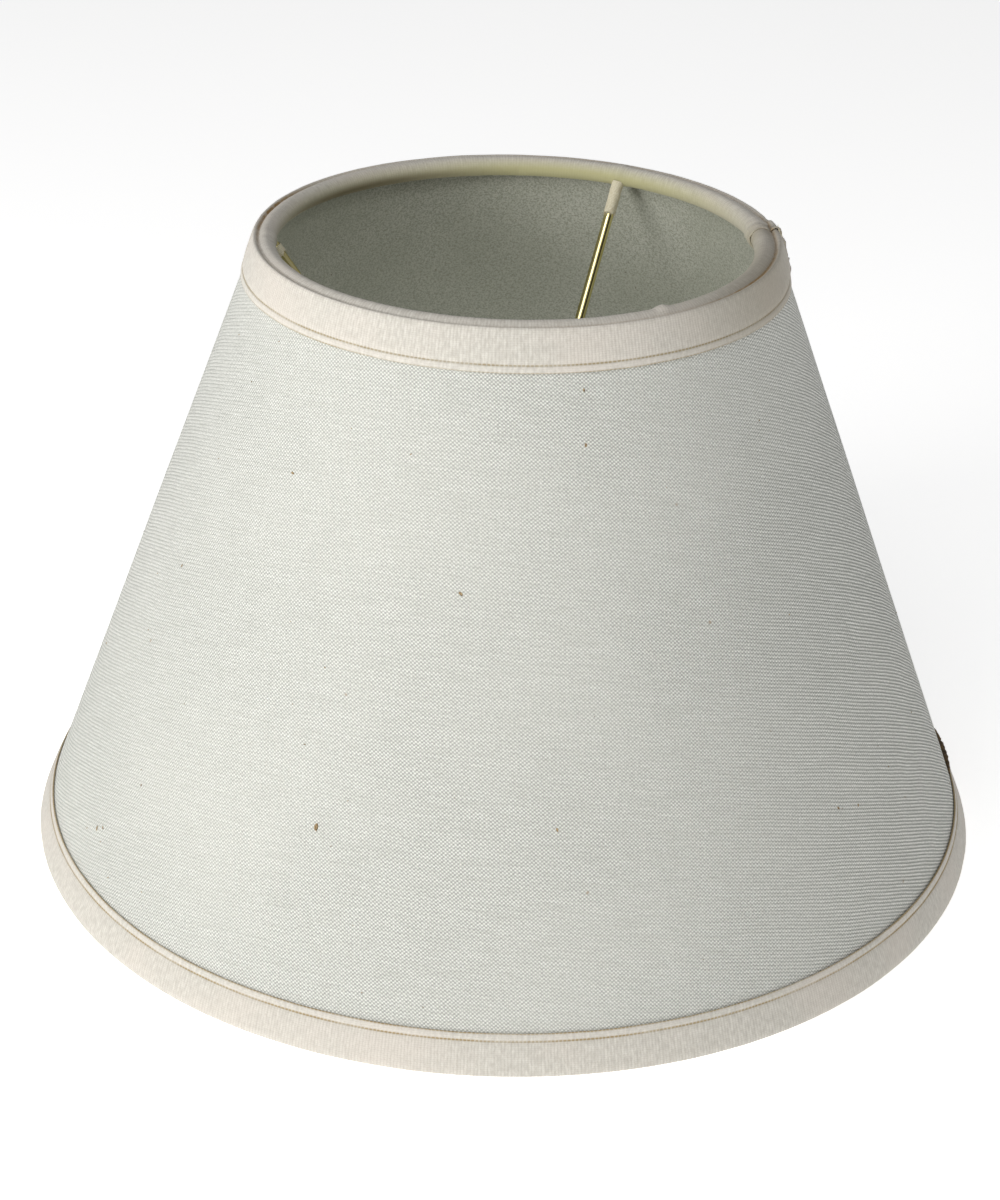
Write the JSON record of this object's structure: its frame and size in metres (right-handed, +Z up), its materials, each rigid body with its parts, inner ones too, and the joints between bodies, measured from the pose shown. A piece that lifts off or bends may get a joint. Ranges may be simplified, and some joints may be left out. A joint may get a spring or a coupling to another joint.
{
  "type": "lamp shade",
  "caption": "Empire lamp shade in off-white linen on a stiff liner, with folded tape on both rims and a recessed slip fitter on wire arms.",
  "frame": {"origin": "centre of the circle that the shade stands on, at the bottom of the lower tape", "axes": "+Z up the shade's axis, -Y towards the front, +X to the right seen from the front"},
  "size_m": [0.3048, 0.3048, 0.197],
  "materials": {
    "linen": "plain-weave linen, matte, with slubs and sparse brown flecks",
    "tape": "ribbed cotton tape, matte, warm off-white",
    "liner": "matte white-grey styrene, fine grain",
    "brass": "bright plated wire and stamping",
    "steel": "plain drawn wire",
    "sleeve": "cream coating, dull"
  },
  "bodies": {
    "root": {"cover": "linen", "liner": "liner", "top_ring": "steel", "bottom_ring": "steel", "top_tape": "tape", "bottom_tape": "tape", "arm_1": "brass", "arm_2": "brass", "arm_3": "brass", "arm_sleeve_1": "sleeve", "arm_sleeve_2": "sleeve", "arm_sleeve_3": "sleeve", "fitter_ring": "brass"}
  },
  "joints": []
}
